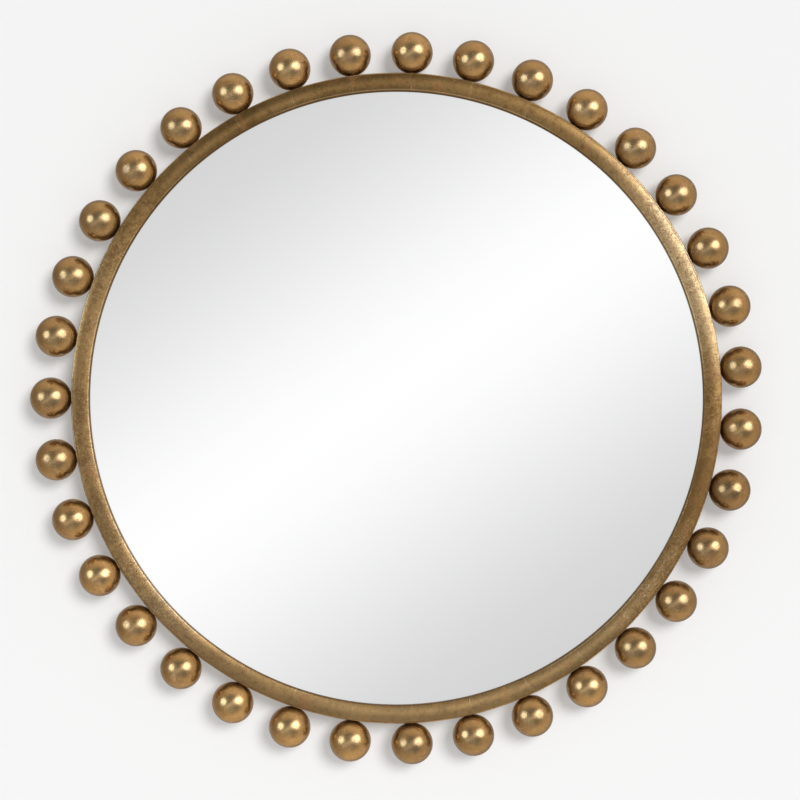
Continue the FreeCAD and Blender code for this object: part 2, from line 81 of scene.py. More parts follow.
class MirrorSizes(bpy.types.PropertyGroup):
    """Sizes of the pieces that are remade here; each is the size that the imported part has."""

    ring_radius: a_length("Ring Radius", "Outer wall of the ring", 495.3)
    face_width: a_length("Face Width", "Front face of the ring", 28.4)
    crown_height: a_length("Crown Height", "Rise of the face between its edges", 2.5)
    ring_depth: a_length("Ring Depth", "Rear hem to the top of the crown", 45.5)
    hem_back: a_length("Hem Back", "Rear hem in front of the wall", 2.5)
    edge_radius: a_length("Edge Radius", "Outside bend at both edges of the face", 2.0)
    rear_bend_radius: a_length("Rear Bend Radius", "Outside bend at the hem", 3.0)
    lip_depth: a_length("Lip Depth", "Return lip behind the face", 4.5)
    hem_width: a_length("Hem Width", "Rear hem, inward from the wall", 12.0)
    sheet_wall: a_length("Sheet", "Thickness of the ring's steel sheet", 1.5)
    ball_radius: a_length("Ball Radius", "Outside of a ball", 31.75)
    ball_depth: a_length("Ball Depth", "Ball centre in front of the wall", 33.0)
    ball_gap: a_length("Ball Gap", "Between ball and ring where they are nearest", 0.2)
    weld_radius: a_length("Weld Radius", "A ball's weld where it leaves the ball", 8.0)
    weld_toe: a_length("Weld Toe", "A ball's weld where it meets the ring", 9.5)
    first_ball: an_angle("First Ball", "Where the first ball sits", 180.0)
    screw_circle: a_length("Screw Circle", "Radius of the circle of screws", 469.8)
    screw_back: a_length("Screw Seat", "Tabs' rear faces in front of the wall", 25.5)
    first_screw: an_angle("First Screw", "Where the first screw sits", 22.5)


class MirrorFinish(bpy.types.PropertyGroup):
    """Colours of the finishes, as they would be measured in plain light."""

    leaf: a_colour("Leaf", "Gold leaf, toned down", 0.470, 0.290, 0.106)
    # also the colour of the painted highlights on the ring
    rubbed: a_colour("Rubbed Leaf", "Leaf where it is rubbed bright", 0.86, 0.68, 0.40)
    # also the colour that the painted shade and the darkening by place go towards
    glaze: a_colour("Glaze", "Brown toning glaze over the leaf", 0.156, 0.076, 0.019)
    bole: a_colour("Bole", "Red-brown ground below the leaf", 0.310, 0.125, 0.042)
    primer: a_colour("Primer", "Brown primer on plain steel", 0.060, 0.042, 0.032)
    board: a_colour("Board", "Sealed fibreboard", 0.265, 0.165, 0.088)
    zinc: a_colour("Zinc", "Zinc plating", 0.56, 0.57, 0.58)
    felt: a_colour("Felt", "Dense grey felt", 0.20, 0.19, 0.175)


class MirrorStage(bpy.types.PropertyGroup):
    """The wall, the floor, the lamps and the camera."""

    camera_distance: a_length("Camera Distance", "Camera to wall", 4000.0)
    lens: a_number("Lens", "Focal length of the camera, in millimetres", 117.0)
    floor_height: a_length("Floor Height", "Floor, measured from the mirror's centre", -1100.0)
    wall_colour: a_colour("Wall", "Painted wall", 0.90, 0.90, 0.90)
    wall_glow: a_number("Wall Glow", "Share of the wall's light that no shadow takes", 0.30)
    floor_colour: a_colour("Floor", "Pale floor", 0.86, 0.86, 0.855)
    floor_glow: a_number("Floor Glow", "Share of the floor's light that no shadow takes", 0.10)
    front_strength: a_number("Front Lamp", "Lights wall, floor and mirror from the front", 2.08)
    key_strength: a_number("Key Lamp", "Shine at the right of gold and glass", 1.27)
    fill_strength: a_number("Fill Lamp", "Shine at the left of gold and glass", 0.86)
    rear_strength: a_number("Rear Lamp", "Lights the mirror's back from behind the wall", 1.4)
    room_light: a_number("Room Light", "Light from all round", 0.31)


# ---------------------------------------------------------------- node maths


class Value:
    """A value on its way through a node tree. Python's operators on it add Math nodes."""

    def __init__(self, recipe, socket):
        self.recipe = recipe
        self.socket = socket

    def math(self, operation, *others):
        return self.recipe.math(operation, self, *others)

    def __add__(self, other):
        return self.math("ADD", other)

    __radd__ = __add__

    def __sub__(self, other):
        return self.math("SUBTRACT", other)

    def __rsub__(self, other):
        return self.recipe.math("SUBTRACT", other, self)

    def __mul__(self, other):
        return self.math("MULTIPLY", other)

    __rmul__ = __mul__

    def __truediv__(self, other):
        return self.math("DIVIDE", other)

    def __rtruediv__(self, other):
        return self.recipe.math("DIVIDE", other, self)

    def __abs__(self):
        return self.math("ABSOLUTE")

    def least(self, other):
        return self.math("MINIMUM", other)

    def most(self, other):
        return self.math("MAXIMUM", other)

    def as_number(self):
        """One number from a colour or a vector."""
        return self.math("ADD", 0.0)

    def ramp(self, low, high, start=0.0, end=1.0):
        """Runs smoothly from start to end while this value goes from low to high."""
        return self.recipe.add("ShaderNodeMapRange", {"interpolation_type": "SMOOTHSTEP"}, {
            "Value": self, "From Min": low, "From Max": high, "To Min": start, "To Max": end})


class Recipe:
    """The node tree of a material or of the world, or a tree of Geometry Nodes."""

    def __init__(self, owner):
        self.owner = owner
        if isinstance(owner, bpy.types.NodeTree):
            self.tree = owner
        else:
            owner.use_nodes = True
            self.tree = owner.node_tree
        self.tree.nodes.clear()

    def add(self, kind, settings=None, sockets=None, output=0):
        """Adds a node: first its settings, then the values or links of its sockets."""
        node = self.tree.nodes.new(kind)
        for name, value in (settings or {}).items():
            if name == "stops":
                self.set_stops(node.color_ramp, value)
            else:
                setattr(node, name, value)
        for name, value in (sockets or {}).items():
            if isinstance(value, Value):
                self.tree.links.new(value.socket, node.inputs[name])
            else:
                node.inputs[name].default_value = value
        return Value(self, node.outputs[output]) if len(node.outputs) else node

    @staticmethod
    def set_stops(ramp, stops):
        """Sets a colour ramp's stops, each a place and a grey."""
        while len(ramp.elements) < len(stops):
            ramp.elements.new(1.0)
        for element, (place, grey) in zip(ramp.elements, stops):
            element.position = place
            element.color = (grey, grey, grey, 1.0)

    def math(self, operation, *values):
        return self.add("ShaderNodeMath", {"operation": operation}, dict(enumerate(values)))

    def place(self):
        """Object coordinates, in metres, in the mirror's own frame."""
        return self.add("ShaderNodeTexCoord", output="Object")

    def attribute(self, name, output="Vector"):
        return self.add("ShaderNodeAttribute", {"attribute_name": name}, output=output)

    def parts(self, vector):
        """The x, y and z of a vector."""
        node = self.add("ShaderNodeSeparateXYZ", sockets={"Vector": vector}).socket.node
        return [Value(self, output) for output in node.outputs]

    def vector(self, x=0.0, y=0.0, z=0.0):
        return self.add("ShaderNodeCombineXYZ", sockets={"X": x, "Y": y, "Z": z})

    def noise(self, vector, scale, detail=2.0, roughness=0.5, warp=0.0, output="Fac"):
        """Noise with scale bumps to a metre."""
        return self.add("ShaderNodeTexNoise", sockets={
            "Vector": vector, "Scale": scale, "Detail": detail, "Roughness": roughness,
            "Distortion": warp}, output=output)

    def streaks(self, vector, by, detail=3.0, roughness=0.5):
        """Noise drawn out in one direction: by is its bumps to a metre along x, y and z."""
        drawn = self.add("ShaderNodeVectorMath", {"operation": "MULTIPLY"}, {0: vector, 1: by})
        return self.noise(drawn, 1.0, detail, roughness)

    def stirred(self, vector, scale, amount, detail=2.0):
        """A place moved about by up to amount, so that what is drawn on it wanders."""
        wander = self.noise(vector, scale, detail, output="Color")
        moved = self.add("ShaderNodeVectorMath", {"operation": "SCALE"},
                         {"Vector": wander, "Scale": amount})
        return self.add("ShaderNodeVectorMath", {"operation": "ADD"}, {0: vector, 1: moved})

    def cells(self, vector, scale, feature="F1", output="Distance"):
        return self.add("ShaderNodeTexVoronoi", {"feature": feature},
                        {"Vector": vector, "Scale": scale}, output=output)

    def chance(self, value):
        """A steady random number from 0 to 1 for each value."""
        return self.add("ShaderNodeTexWhiteNoise", {"noise_dimensions": "1D"}, {"W": value},
                        output="Value")

    def blend(self, share, a, b, how="MIX"):
        """Colour a with a share of colour b laid over it."""
        a, b = (value if isinstance(value, Value) else (*value, 1.0) for value in (a, b))
        settings = {"data_type": "RGBA", "blend_type": how, "clamp_factor": True}
        return self.add("ShaderNodeMix", settings, {0: share, 6: a, 7: b}, output=2)

    def tinted(self, colour, value):
        """A colour made lighter or darker by a value near 1."""
        return self.blend(1.0, colour, self.vector(value, value, value), "MULTIPLY")

    def bump(self, height, depth, strength=1.0):
        return self.add("ShaderNodeBump", sockets={
            "Height": height, "Distance": depth, "Strength": strength})

    def finish(self, **sockets):
        """Ends the tree in one Principled shader. Names are its sockets', with _ for a space."""
        named = {name.replace("_", " "): (*value, 1.0) if isinstance(value, tuple) else value
                 for name, value in sockets.items()}
        shader = self.add("ShaderNodeBsdfPrincipled", sockets=named)
        self.add("ShaderNodeOutputMaterial", sockets={"Surface": shader})
        return self.owner


def new_recipe(name):
    return Recipe(bpy.data.materials.new(name))


# ---------------------------------------------------------------- finishes


def shade(name):
    """A finish's colour, as the panel has it."""
    return tuple(getattr(bpy.context.scene.mirror_finish, name))


def times(colour, amount):
    return tuple(amount * part for part in colour)


def gold_leaf(name, leaves_of, polish, wear, varnish):
    """Toned gold leaf: leaves of uneven tone over red-brown bole, rubbed, crackled and glazed.

    leaves_of(recipe, place) gives the tone of each leaf, its laps, on the ring a painted highlight
    along the outer bend, its dark lines and painted shade in corners and by the welds, how far the
    leaf is crackled and how far it is darkened by place towards the glaze colour. On the ring the
    laps also carry painted highlights along the inner bend and at the upper right, and the tone is
    lighter at the upper right.
    polish is the roughness where the leaf is sound, wear the strength of its crackle and specks,
    and varnish the cover of clear varnish where the leaf is not darkened by place.
    """
    leaf, rubbed, glaze, bole = (shade(part) for part in ("leaf", "rubbed", "glaze", "bole"))
    r = new_recipe(name)
    place = r.place()
    tone, lap, edge, dark_line_and_painted_shade, crackled, darkened_by_place = leaves_of(r, place)
    cloud = r.noise(place, 6.0, 2.0)
    patch = r.noise(place, 40.0, 3.0, 0.55, 0.4)
    mottle = r.noise(place, 130.0, 3.0, 0.65)
    grain = r.noise(place, 430.0, 3.0, 0.7)
    stirred = r.stirred(place, 90.0, 0.008)
    veins = r.cells(stirred, 280.0, "DISTANCE_TO_EDGE")
    vein = veins.ramp(0.0, 0.12, wear, 0.0) * (0.1 + 0.9 * crackled) * mottle.ramp(0.35, 0.55)
    spread = 0.15 + 0.85 * crackled
    speck = grain.ramp(0.50, 0.62, 0.0, wear) * spread
    glint = r.noise(stirred, 260.0, 2.0).ramp(0.54, 0.68, 0.0, wear) * spread
    worn = patch.ramp(0.54, 0.70) * (0.4 + 0.6 * grain.ramp(0.25, 0.6))
    pit = r.noise(stirred, 270.0, 2.0).ramp(0.66, 0.73)
    toned = (1.0 - cloud).ramp(0.38, 0.66) * 0.28
    toned = toned + mottle.ramp(0.48, 0.72, 0.0, 0.1 + 0.25 * wear)
    toned = toned + (1.0 - patch).ramp(0.50, 0.66, 0.0, 0.34 * wear) * (0.3 + 0.7 * crackled)
    # veins, specks and pits, with the dark line and the painted shade from leaves_of
    dark = vein * 0.85 + speck * 0.8 + dark_line_and_painted_shade * 0.9 + pit * 0.7
    colour = r.blend((toned + darkened_by_place).least(0.85), leaf, glaze)
    colour = r.blend(worn * 0.50, colour, bole)
    colour = r.blend(glint * (0.45 - 0.8 * darkened_by_place).most(0.08), colour, rubbed)
    # the painted highlights from leaves_of come in here with the laps, in the rubbed colour
    colour = r.blend((lap * 0.35 + edge * 0.5).least(0.8), colour, rubbed)
    colour = r.blend(dark.least(0.92), colour, glaze)
    height = mottle * 0.5 + grain * 0.22 - vein * 0.4 + lap * 0.4 - pit * 0.8 - dark_line_and_painted_shade * 0.5
    return r.finish(
        Base_Color=r.tinted(colour, tone),
        Metallic=0.95 - 0.25 * worn - 0.4 * pit,
        Roughness=(polish + 0.10 * mottle + 0.14 * worn + 0.2 * dark_line_and_painted_shade + 0.1 * speck
                   + 0.14 * wear * crackled),
        Normal=r.bump(height, 0.22 * MM, 0.6),
        Specular_Tint=(0.62, 0.50, 0.38),
        Coat_Weight=varnish - 0.9 * darkened_by_place,
        Coat_Roughness=0.25,
        Coat_IOR=1.6,
    )


def ring_leaves(recipe, place):
    """Leaves laid end to end round the ring, with painted highlights along both bends of the face,
    a dark line beside the outer bend and painted shade in the inner corner by the glass.

    The leaf is darker across the top, at the left, the right and the lower left. At the upper right
    a painted highlight makes it lighter and paler.
    """
    sizes = bpy.context.scene.mirror_sizes
    run, across, _ = recipe.parts(recipe.attribute("section"))
    x, _, z = recipe.parts(place)
    ragged = recipe.noise(place, 120.0, 3.0, 0.6) - 0.5
    along = (run + ragged * 0.009) / (math.tau * sizes.ring_radius / LEAVES_ROUND)
    number = along.math("FLOOR")
    inside_leaf = along - number
    seam = inside_leaf.ramp(0.0, 0.012, 1.0, 0.0)
    second = inside_leaf.ramp(0.03, 0.038, 0.0, 0.35) * inside_leaf.ramp(0.038, 0.05, 1.0, 0.0)
    lap = (seam + second) * recipe.noise(place, 60.0).ramp(0.4, 0.6)

    slow = recipe.noise(place, 9.0)
    handled = abs(x).ramp(0.27, 0.43) * (0.55 + 0.45 * slow.ramp(0.4, 0.6))
    # painted highlight at the upper right: a lighter tone and a share of the rubbed colour
    bright = x.ramp(0.30, 0.42) * abs(z - 0.20).ramp(0.05, 0.20, 1.0, 0.0)
    low = (z * -1.0).ramp(0.33, 0.47) * x.ramp(-0.2, 0.1)
    top = (z + 0.1 * abs(x)).ramp(0.0, 0.42, 0.0, 0.50) * x.ramp(0.24, 0.42, 1.0, 0.2)
    left = (x * -1.0).ramp(0.15, 0.4) * abs(z + 0.09).ramp(0.08, 0.27, 0.32, 0.0)
    right = x.ramp(0.3, 0.45) * abs(z + 0.06).ramp(0.07, 0.26, 0.52, 0.0)
    foot = (z * -1.0).ramp(0.28, 0.4) * abs(x + 0.22).ramp(0.05, 0.2, 0.22, 0.0)
    # darker by place across the top, the left, the right and the lower left, towards the glaze
    # colour
    darkened_by_place = top + left + right + foot
    brushed = recipe.noise(recipe.vector(run * 900.0, across * 60.0), 1.0, 3.0, 0.7)
    tone = 0.72 + 0.14 * recipe.chance(number) + 0.20 * brushed + 0.18 * bright + 0.10 * low

    inner, outer = bend_places(sizes)
    wavy = across + ragged * 0.0012
    broken = recipe.noise(place, 5.0).ramp(0.40, 0.56)
    # painted highlight along the outer bend, in the rubbed colour
    edge = abs(across - outer + 0.7 * MM).ramp(0.0, 1.3 * MM, 1.3, 0.0) * (0.35 + 0.65 * broken)
    # painted highlight along the inner bend, in the rubbed colour
    pale = abs(across - inner - 2.6 * MM).ramp(0.0, 1.1 * MM, 1.4, 0.0) * broken
    # a dark line beside the outer bend
    line = abs(wavy - outer + 2.6 * MM).ramp(0.0, 1.2 * MM, 0.9, 0.0) * slow.ramp(0.42, 0.55)
    # painted shade in the inner corner by the glass
    corner = wavy.ramp(inner + 0.8 * MM, inner + 2.0 * MM, 1.0, 0.0)
    # the laps go out with the painted highlights, and the dark line with the painted shade
    return tone, lap + pale + bright * 0.75, edge, line.most(corner), handled, darkened_by_place


def ball_leaves(recipe, place):
    """Leaves pressed round the balls in uneven patches, with painted shade down by the weld where
    each ball meets the ring.

    The balls at the lower left are a little paler, and those at the right are darker.
    """
    x, _, z = recipe.parts(place)
    inward = recipe.parts(recipe.attribute("on_ball"))[0]
    seed = recipe.attribute("leaf_seed", "Fac")
    patches = recipe.stirred(place, 55.0, 0.016, 3.0)
    patch = recipe.cells(patches, 24.0, output="Position").as_number()
    leftward, low = (x * -1.0 - 0.5 * z).ramp(0.25, 0.65), (z * -1.0).ramp(0.0, 0.2)
    tone = 0.86 + 0.20 * leftward * low + 0.10 * seed + 0.14 * recipe.chance(patch)
    lap = recipe.cells(patches, 24.0, "DISTANCE_TO_EDGE").ramp(0.0, 0.03, 1.0, 0.0)
    lap = lap * recipe.noise(place, 70.0).ramp(0.42, 0.62)
    # painted shade on each ball down by its weld, where it meets the ring
    toe = inward.ramp(-0.0315, -0.022, 1.0, 0.0)
    crackled = recipe.noise(place, 30.0).ramp(0.4, 0.62)
    # darker at the right, towards the glaze colour
    far_right = x.ramp(0.35, 0.55) * abs(z).ramp(0.1, 0.35, 0.25, 0.0)
    return tone, lap * 0.6, 0.0, toe * 0.7, crackled, far_right


def bend_places(sizes):
    """How far along the section, from the end of the lip, the middles of the two face bends lie."""
    outside, _ = ring_section(sizes)
    middle = sizes.ring_radius - sizes.face_width / 2
    travelled, before, after = 0.0, [], []
    for index, (point, part) in enumerate(outside):
        travelled += math.dist(outside[max(index - 1, 0)][0], point)
        if part == "bend":
            (before if point[0] < middle else after).append(travelled)
    return (before[0] + before[-1]) / 2, (after[0] + after[-1]) / 2


def primed_steel():
    """Brown primer sprayed on plain steel, with rust below it and rubbed high spots."""
    primer = shade("primer")
    r = new_recipe("primed_steel")
    place = r.place()
    cloud = r.noise(place, 26.0, 3.0)
    spray = r.noise(place, 900.0, 2.0, 0.7)
    scuff = r.streaks(place, (40.0, 260.0, 40.0)).ramp(0.66, 0.76)
    rust = r.noise(place, 130.0, 4.0, 0.65).ramp(0.56, 0.70) * cloud.ramp(0.46, 0.62)
    colour = r.blend(cloud.ramp(0.3, 0.7), times(primer, 0.75), times(primer, 1.5))
    colour = r.blend(rust * 0.7, colour, (0.17, 0.062, 0.024))
    colour = r.blend(scuff * 0.35, colour, (0.22, 0.20, 0.18))
    return r.finish(
        Base_Color=colour,
        Metallic=scuff * 0.5,
        Roughness=0.52 + 0.18 * spray + 0.15 * rust,
        Normal=r.bump(spray * 0.6 + cloud * 0.8 + rust * 0.5, 0.15 * MM, 0.5),
    )


def zinc_plate(name, drawn):
    """Bright zinc plating: pale crystals, drawing lines along the strip, a faint yellow bloom."""
    r = new_recipe(name)
    place = r.place()
    spangle = r.cells(place, 420.0, output="Color").as_number()
    lines = r.streaks(place, drawn, 3.0, 0.7)
    bloom = r.noise(place, 60.0, 3.0).ramp(0.45, 0.75)
    scratch = r.streaks(place, (700.0, 90.0, 90.0), 2.0).ramp(0.70, 0.76)
    colour = r.blend(bloom * 0.5, shade("zinc"), (0.56, 0.52, 0.38))
    colour = r.tinted(colour, 0.86 + 0.16 * spangle + 0.12 * lines)
    colour = r.blend(scratch * 0.4, colour, (0.30, 0.30, 0.30))
    return r.finish(
        Base_Color=colour,
        Metallic=0.95 - 0.25 * bloom,
        Roughness=0.27 + 0.16 * lines + 0.12 * bloom,
        Normal=r.bump(lines * 0.5 + scratch * 0.4 + spangle * 0.15, 0.05 * MM, 0.5),
    )


def silvered_glass():
    """Silver behind clear float glass, with the faintest bloom and a few specks of dust."""
    r = new_recipe("silvered_glass")
    place = r.place()
    bloom = r.noise(place, 5.0, 2.0)
    dust = r.noise(place, 1500.0, 1.0).ramp(0.80, 0.84) * r.noise(place, 12.0).ramp(0.45, 0.7)
    x, _, z = r.parts(place)
    radius = (x * x + z * z).math("SQRT")
    # painted shade on the glass beside the ring's lip
    rim = radius.ramp(0.462, 0.4675) * 0.10
    colour = r.blend(rim + dust * 0.3, (0.955, 0.960, 0.957), (0.72, 0.76, 0.74))
    return r.finish(
        Base_Color=colour,
        Metallic=1.0,
        Roughness=0.004 + 0.004 * bloom + dust * 0.25,
        Coat_Weight=0.5,
        Coat_Roughness=0.0,
    )


def foam_tape():
    """Black closed-cell foam: fine pores and a dull skin."""
    r = new_recipe("foam_tape")
    place = r.place()
    pores = r.cells(place, 1300.0)
    skin = r.noise(place, 80.0, 3.0)
    colour = r.blend(pores.ramp(0.1, 0.5), (0.012, 0.012, 0.012), (0.045, 0.045, 0.046))
    return r.finish(
        Base_Color=r.tinted(colour, 0.8 + 0.5 * skin),
        Roughness=0.72 + 0.2 * skin,
        Normal=r.bump(pores, 0.2 * MM, 0.7),
    )


def moulded_rubber():
    """Moulded rubber: matt, with flow marks and a pale bloom."""
    r = new_recipe("moulded_rubber")
    place = r.place()
    flow = r.streaks(place, (90.0, 500.0, 90.0))
    bloom = r.noise(place, 160.0, 3.0).ramp(0.5, 0.75)
    colour = r.blend(bloom * 0.4, (0.022, 0.022, 0.024), (0.10, 0.10, 0.105))
    return r.finish(
        Base_Color=r.tinted(colour, 0.8 + 0.4 * flow),
        Roughness=0.55 + 0.25 * bloom,
        Normal=r.bump(flow + bloom * 0.3, 0.15 * MM, 0.5),
    )


def fibreboard():
    """Sealed fibreboard: felted fibres of uneven brown, dark flecks and a few scuffs."""
    board = shade("board")
    r = new_recipe("fibreboard")
    place = r.place()
    twisted = r.stirred(place, 30.0, 0.03)
    along = r.streaks(twisted, (60.0, 60.0, 900.0), 3.0, 0.65)
    across = r.streaks(twisted, (900.0, 60.0, 70.0), 3.0, 0.65)
    cloud = r.noise(place, 3.2, 4.0, 0.6)
    fleck = r.noise(place, 420.0, 2.0).ramp(0.66, 0.74)
    scuff = r.streaks(place, (14.0, 14.0, 3.0), 4.0).ramp(0.64, 0.72)
    fibre = along.most(across)
    colour = r.blend(fibre.ramp(0.45, 0.75) * 0.55, board, times(board, 1.55))
    colour = r.blend(fleck * 0.5, colour, times(board, 0.4))
    colour = r.blend(scuff * 0.22, colour, (0.42, 0.33, 0.24))
    return r.finish(
        Base_Color=r.tinted(colour, 0.78 + 0.44 * cloud),
        Roughness=0.58 + 0.16 * cloud + 0.1 * scuff,
        Normal=r.bump(fibre * 0.7 + fleck * 0.3, 0.12 * MM, 0.45),
    )


def felt():
    """Dense grey felt: matted hairs of two greys."""
    grey = shade("felt")
    r = new_recipe("felt")
    place = r.place()
    hairs = r.noise(r.stirred(place, 400.0, 0.004), 1500.0, 4.0, 0.75)
    colour = r.blend(hairs.ramp(0.35, 0.7), times(grey, 0.55), times(grey, 1.5))
    return r.finish(Base_Color=colour, Roughness=0.92, Normal=r.bump(hairs, 0.3 * MM, 0.8))


# ---------------------------------------------------------------- shapes


def arc(centre, radius, start, end, count):
    """Points of an arc in the section's plane, from angle start to angle end, in degrees."""
    turns = [math.radians(start + (end - start) * step / count) for step in range(count + 1)]
    return [(centre[0] + radius * math.cos(turn), centre[1] + radius * math.sin(turn))
            for turn in turns]


def ring_skin(sizes, inset):
    """One skin of the ring's sheet from lip to hem: (radius, depth) points, each with its part.

    inset is how far the skin lies inside the sheet's outside.
    """
    lip_steps, bend_steps, face_steps, wall_steps, corner_steps = 3, 6, 16, 6, 7
    opening = sizes.ring_radius - sizes.face_width
    middle = sizes.ring_radius - sizes.face_width / 2
    crown = sizes.face_width ** 2 / (8 * sizes.crown_height) + sizes.crown_height / 2
    front = -sizes.hem_back - sizes.ring_depth
    centre = (middle, front + crown)
    reach = sizes.face_width / 2 - sizes.edge_radius
    bend_y = centre[1] - math.sqrt((crown - sizes.edge_radius) ** 2 - reach ** 2)
    lean = math.degrees(math.asin(reach / (crown - sizes.edge_radius)))
    bend = sizes.edge_radius - inset
    lip_end = front + sizes.crown_height + sizes.lip_depth
    lip = [lip_end + (bend_y - lip_end) * step / lip_steps for step in range(lip_steps)]
    rear = (sizes.ring_radius - sizes.rear_bend_radius, -sizes.hem_back - sizes.rear_bend_radius)
    wall = [bend_y + (rear[1] - bend_y) * step / wall_steps for step in range(1, wall_steps)]
    runs = [
        ("lip", [(opening + inset, depth) for depth in lip]),
        ("bend", arc((middle - reach, bend_y), bend, 180, 270 - lean, bend_steps)),
        ("face", arc(centre, crown - inset, 270 - lean, 270 + lean, face_steps)[1:-1]),
        ("bend", arc((middle + reach, bend_y), bend, 270 + lean, 360, bend_steps)),
        ("wall", [(sizes.ring_radius - inset, depth) for depth in wall]),
        ("corner", arc(rear, sizes.rear_bend_radius - inset, 0, 90, corner_steps)),
        ("hem", [(sizes.ring_radius - sizes.hem_width, -sizes.hem_back - inset)]),
    ]
    return [(point, part) for part, points in runs for point in points]


def ring_section(sizes):
    """The ring's two skins: the gilded outside and the primed inside."""
    return ring_skin(sizes, 0.0), ring_skin(sizes, sizes.sheet_wall)


def spun(name, points, steps, slots, wrapped):
    """A closed outline of (radius, depth) points turned about the mirror's axis.

    slots gives each side of the outline its material slot. wrapped names the map that holds, in
    metres, the way round and the way along the outline.
    """
    widest = max(radius for radius, _ in points)
    lengths = [0.0]
    for here, after in zip(points, [*points[1:], points[0]]):
        lengths.append(lengths[-1] + math.dist(here, after))
    shape = bmesh.new()
    chart = shape.loops.layers.uv.new(wrapped)
    rows = []
    for step in range(steps):
        turn = math.tau * step / steps
        rows.append([shape.verts.new((radius * math.cos(turn), depth, radius * math.sin(turn)))
                     for radius, depth in points])
    for step in range(steps):
        row, following = rows[step], rows[(step + 1) % steps]
        near, far = (math.tau * place / steps * widest for place in (step, step + 1))
        for side in range(len(points)):
            other = (side + 1) % len(points)
            face = shape.faces.new((row[side], row[other], following[other], following[side]))
            face.material_index = slots[side]
            face.smooth = True
            spots = ((near, side), (near, side + 1), (far, side + 1), (far, side))
            for loop, (along, at) in zip(face.loops, spots):
                loop[chart].uv = (along, lengths[at])
    bmesh.ops.recalc_face_normals(shape, faces=shape.faces)
    return new_piece(name, shape)


def turned_blank(name, profile, steps, axis):
    """A small part turned about its own axis, X or Y.

    profile is a list of (along, radius), and both its ends lie on the axis.
    """
    on_axis = 1e-9
    turns = [math.tau * step / steps for step in range(steps)]
    shape = bmesh.new()
    rows = []
    for along, radius in profile:
        if radius < on_axis:
            rows.append([shape.verts.new((along, 0, 0))] * steps)
        else:
            rows.append([shape.verts.new((along, radius * math.cos(turn), radius * math.sin(turn)))
                         for turn in turns])
    for row, following in zip(rows, rows[1:]):
        for step in range(steps):
            after = (step + 1) % steps
            corners = dict.fromkeys((row[step], row[after], following[after], following[step]))
            shape.faces.new(list(corners)).smooth = True
    bmesh.ops.recalc_face_normals(shape, faces=shape.faces)
    if axis == "Y":
        quarter = Matrix.Rotation(math.pi / 2, 3, "Z")
        bmesh.ops.rotate(shape, verts=shape.verts, matrix=quarter)
    return new_piece(name, shape)


def in_scene(name, data):
    """A new object that holds the data, in the scene."""
    thing = bpy.data.objects.new(name, data)
    bpy.context.scene.collection.objects.link(thing)
    return thing


def meshed(name, shape):
    """Ends bmesh work in a mesh."""
    mesh = bpy.data.meshes.new(name)
    shape.to_mesh(mesh)
    shape.free()
    return mesh


def new_piece(name, shape):
    """Ends bmesh work in an object of that name, with sharp edges kept sharp."""
    mesh = meshed(name, shape)
    mesh.set_sharp_from_angle(angle=SHARP_ANGLE)
    return in_scene(name, mesh)


def applied(piece):
    """A plain mesh of the piece with its modifiers applied."""
    bpy.context.view_layer.update()
    final = piece.evaluated_get(bpy.context.evaluated_depsgraph_get())
    return bpy.data.meshes.new_from_object(final)


def round_tree():
    """Geometry Nodes that repeat a part round the mirror's axis and turn each to face it."""
    tree = bpy.data.node_groups.new("round_the_ring", "GeometryNodeTree")
    for label, kind in (("Geometry", "Geometry"), ("Count", "Int"), ("Circle Radius", "Float"),
                        ("Depth", "Float"), ("First Angle", "Float"), ("Own Turn", "Float"),
                        ("Seed", "Int"), ("Finish", "Material")):
        tree.interface.new_socket(label, in_out="INPUT", socket_type=f"NodeSocket{kind}")
    tree.interface.new_socket("Geometry", in_out="OUTPUT", socket_type="NodeSocketGeometry")
    g = Recipe(tree)
    given = {socket.name: Value(g, socket) for socket in tree.nodes.new("NodeGroupInput").outputs}
    index = g.add("GeometryNodeInputIndex")
    turn = given["First Angle"] - math.tau / given["Count"] * index
    across = given["Circle Radius"] * turn.math("COSINE")
    up = given["Circle Radius"] * turn.math("SINE")
    points = g.add("GeometryNodePoints", sockets={
        "Count": given["Count"], "Position": g.vector(across, given["Depth"] * -1.0, up)})
    marked = g.add("GeometryNodeStoreNamedAttribute",
                   {"data_type": "FLOAT_VECTOR", "domain": "POINT"},
                   {"Geometry": given["Geometry"], "Name": "on_ball",
                    "Value": g.add("GeometryNodeInputPosition")})
    chance = g.add("FunctionNodeRandomValue", {"data_type": "FLOAT"},
                   {"ID": index, "Seed": given["Seed"]}, output=1)
    placed = g.add("GeometryNodeInstanceOnPoints", sockets={
        "Points": points, "Instance": marked, "Rotation": g.vector(y=turn * -1.0)})
    turned = g.add("GeometryNodeRotateInstances", sockets={
        "Instances": placed, "Rotation": g.vector(y=given["Own Turn"] * chance)})
    seeded = g.add("GeometryNodeStoreNamedAttribute",
                   {"data_type": "FLOAT", "domain": "INSTANCE"},
                   {"Geometry": turned, "Name": "leaf_seed", "Value": chance})
    real = g.add("GeometryNodeRealizeInstances", sockets={"Geometry": seeded})
    finished = g.add("GeometryNodeSetMaterial", sockets={
        "Geometry": real, "Material": given["Finish"]})
    g.add("NodeGroupOutput", sockets={"Geometry": finished})
    return tree


def set_input(modifier, label, value):
    """Sets a modifier's input, found by its label, through the socket's identifier."""
    for item in modifier.node_group.interface.items_tree:
        if item.item_type == "SOCKET" and item.in_out == "INPUT" and item.name == label:
            modifier[item.identifier] = value
            return
    raise KeyError(f"the node tree has no input {label}")


